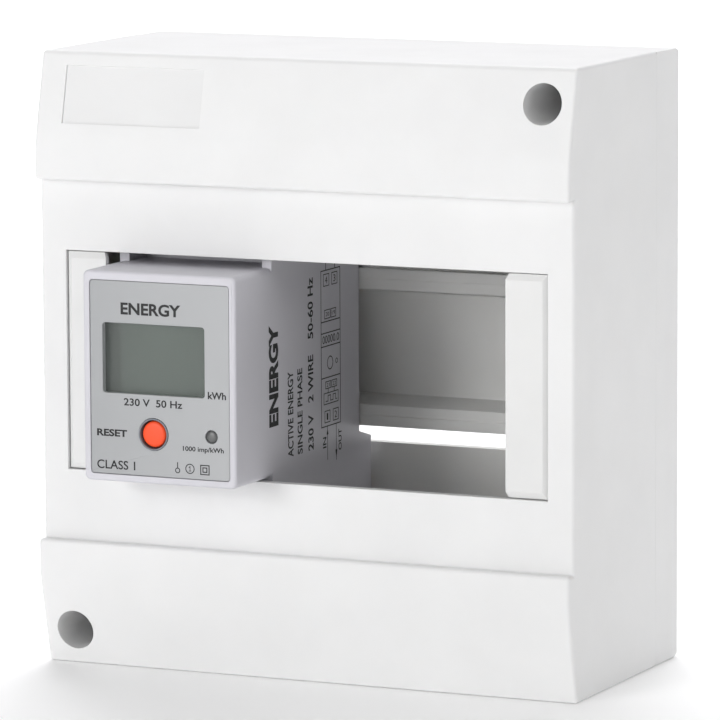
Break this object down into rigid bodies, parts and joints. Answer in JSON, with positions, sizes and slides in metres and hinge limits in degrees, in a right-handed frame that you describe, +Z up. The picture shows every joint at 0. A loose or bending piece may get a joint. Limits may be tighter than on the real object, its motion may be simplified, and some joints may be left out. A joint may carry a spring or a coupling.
{
  "type": "energy meter in surface box",
  "caption": "Single-phase rail-mounted energy meter with display and reset button, in a white wall box with cover, module window, blanking strips and moulded rail.",
  "frame": {"origin": "centre of the outline on the bottom face of the box", "axes": "+X to the right seen from the front, +Y from the front to the back, +Z up; the front faces -Y"},
  "size_m": [0.124, 0.0738, 0.133],
  "materials": {
    "box_white": "fine satin ABS",
    "strip_white": "fine satin ABS",
    "housing_grey": "satin ABS, light lilac grey",
    "faceplate_grey": "printed silver-grey film on plastic",
    "clear_window": "clear polycarbonate",
    "lcd_glass": "reflective liquid crystal cell, off",
    "dark_plastic": "moulded",
    "contact_rubber": "striped conductive elastomer",
    "button_orange": "moulded",
    "collar_grey": "moulded",
    "plunger_white": "moulded",
    "lamp_lens": "diffused lamp lens, off",
    "board_green": "solder mask",
    "gold_pin": "plated",
    "crystal_can": "drawn can",
    "capacitor_yellow": "boxed film capacitor",
    "capacitor_sleeve": "printed sleeve",
    "varistor_blue": "dipped epoxy",
    "lead_red": "insulated wire",
    "copper": "tinned copper strip",
    "shunt_alloy": "resistance alloy",
    "plated_steel": "zinc plated",
    "block_green": "moulded",
    "clip_black": "glass-filled nylon"
  },
  "bodies": {
    "box_base": {"enclosure_base": "box_white"},
    "cover": {"front_cover": "box_white", "blanking_strip_left": "strip_white", "blanking_strip_right": "strip_white"},
    "upper_cover_screw": {"cover_screw_upper": "plated_steel"},
    "lower_cover_screw": {"cover_screw_lower": "plated_steel"},
    "reset_key": {"reset_button": "button_orange", "reset_switch_plunger": "plunger_white"},
    "rail_latch": {"rail_clip": "clip_black"},
    "pulse_screw_left": {"pulse_terminal_screw_left": "plated_steel"},
    "pulse_screw_right": {"pulse_terminal_screw_right": "plated_steel"},
    "live_in_screw_body": {"live_in_screw": "plated_steel"},
    "live_in_clamp_body": {"live_in_clamp": "plated_steel"},
    "live_out_screw_body": {"live_out_screw": "plated_steel"},
    "live_out_clamp_body": {"live_out_clamp": "plated_steel"},
    "neutral_in_screw_body": {"neutral_in_screw": "plated_steel"},
    "neutral_in_clamp_body": {"neutral_in_clamp": "plated_steel"},
    "neutral_out_screw_body": {"neutral_out_screw": "plated_steel"},
    "neutral_out_clamp_body": {"neutral_out_clamp": "plated_steel"},
    "meter": {"meter_rear_housing": "housing_grey", "meter_front_housing": "housing_grey", "faceplate": "faceplate_grey", "display_lens": "clear_window", "lcd_panel": "lcd_glass", "lcd_holder": "dark_plastic", "lcd_contact_strips": "contact_rubber", "button_collar": "collar_grey", "reset_switch_body": "dark_plastic", "pulse_lamp": "lamp_lens", "display_board": "board_green", "controller_chip": "dark_plastic", "board_link_pins": "gold_pin", "power_board": "board_green", "metering_chip": "dark_plastic", "timing_crystal": "crystal_can", "mains_capacitor": "capacitor_yellow", "smoothing_capacitor": "capacitor_sleeve", "surge_varistor": "varistor_blue", "pulse_optocoupler": "dark_plastic", "sense_leads": "lead_red", "live_bar_in": "copper", "current_shunt": "shunt_alloy", "live_bar_out": "copper", "neutral_bar": "copper", "pulse_terminal_block": "block_green", "pulse_terminal_pins": "gold_pin"}
  },
  "joints": [
    {"name": "cover_lift_off", "type": "slide", "parent": "box_base", "child": "cover", "axis": [0, -1, 0], "range_m": [0, 0.08]},
    {"name": "meter_on_rail", "type": "slide", "parent": "box_base", "child": "meter", "axis": [1, 0, 0], "range_m": [-0.001, 0.055]},
    {"name": "upper_cover_screw_turn", "type": "hinge", "parent": "cover", "child": "upper_cover_screw", "pos_m": [0.0548, 0.01485, 0.1255], "axis": [0, -1, 0], "continuous": true},
    {"name": "lower_cover_screw_turn", "type": "hinge", "parent": "cover", "child": "lower_cover_screw", "pos_m": [-0.0548, 0.01485, 0.0075], "axis": [0, -1, 0], "continuous": true},
    {"name": "reset_press", "type": "slide", "parent": "meter", "child": "reset_key", "axis": [0, 1, 0], "range_m": [0, 0.0005], "stiffness_N_per_m": 1200, "springref_m": -0.0003},
    {"name": "rail_latch_pull", "type": "slide", "parent": "meter", "child": "rail_latch", "axis": [0, 0, -1], "range_m": [0, 0.003], "stiffness_N_per_m": 3000, "springref_m": -0.0008},
    {"name": "live_in_screw_turn", "type": "hinge", "parent": "meter", "child": "live_in_screw_body", "pos_m": [-0.03545, -0.00315, 0.0326], "axis": [0, 1, 0], "range_deg": [0, 2434]},
    {"name": "live_in_clamp_rise", "type": "slide", "parent": "meter", "child": "live_in_clamp_body", "axis": [0, -1, 0], "range_m": [0, 0.0054]},
    {"name": "live_out_screw_turn", "type": "hinge", "parent": "meter", "child": "live_out_screw_body", "pos_m": [-0.03545, -0.00315, 0.0986], "axis": [0, 1, 0], "range_deg": [0, 2434]},
    {"name": "live_out_clamp_rise", "type": "slide", "parent": "meter", "child": "live_out_clamp_body", "axis": [0, -1, 0], "range_m": [0, 0.0054]},
    {"name": "neutral_in_screw_turn", "type": "hinge", "parent": "meter", "child": "neutral_in_screw_body", "pos_m": [-0.01865, -0.00315, 0.0326], "axis": [0, 1, 0], "range_deg": [0, 2434]},
    {"name": "neutral_in_clamp_rise", "type": "slide", "parent": "meter", "child": "neutral_in_clamp_body", "axis": [0, -1, 0], "range_m": [0, 0.0054]},
    {"name": "neutral_out_screw_turn", "type": "hinge", "parent": "meter", "child": "neutral_out_screw_body", "pos_m": [-0.01865, -0.00315, 0.0986], "axis": [0, 1, 0], "range_deg": [0, 2434]},
    {"name": "neutral_out_clamp_rise", "type": "slide", "parent": "meter", "child": "neutral_out_clamp_body", "axis": [0, -1, 0], "range_m": [0, 0.0054]},
    {"name": "pulse_screw_left_turn", "type": "hinge", "parent": "meter", "child": "pulse_screw_left", "pos_m": [-0.02959, -0.01675, 0.0371], "axis": [0, -1, 0], "continuous": true},
    {"name": "pulse_screw_right_turn", "type": "hinge", "parent": "meter", "child": "pulse_screw_right", "pos_m": [-0.02451, -0.01675, 0.0371], "axis": [0, -1, 0], "continuous": true}
  ],
  "couplings": [
    {"joint": "live_in_screw_turn", "follows": "live_in_clamp_rise", "rad_per_m": 7854},
    {"joint": "live_out_screw_turn", "follows": "live_out_clamp_rise", "rad_per_m": 7854},
    {"joint": "neutral_in_screw_turn", "follows": "neutral_in_clamp_rise", "rad_per_m": 7854},
    {"joint": "neutral_out_screw_turn", "follows": "neutral_out_clamp_rise", "rad_per_m": 7854}
  ]
}
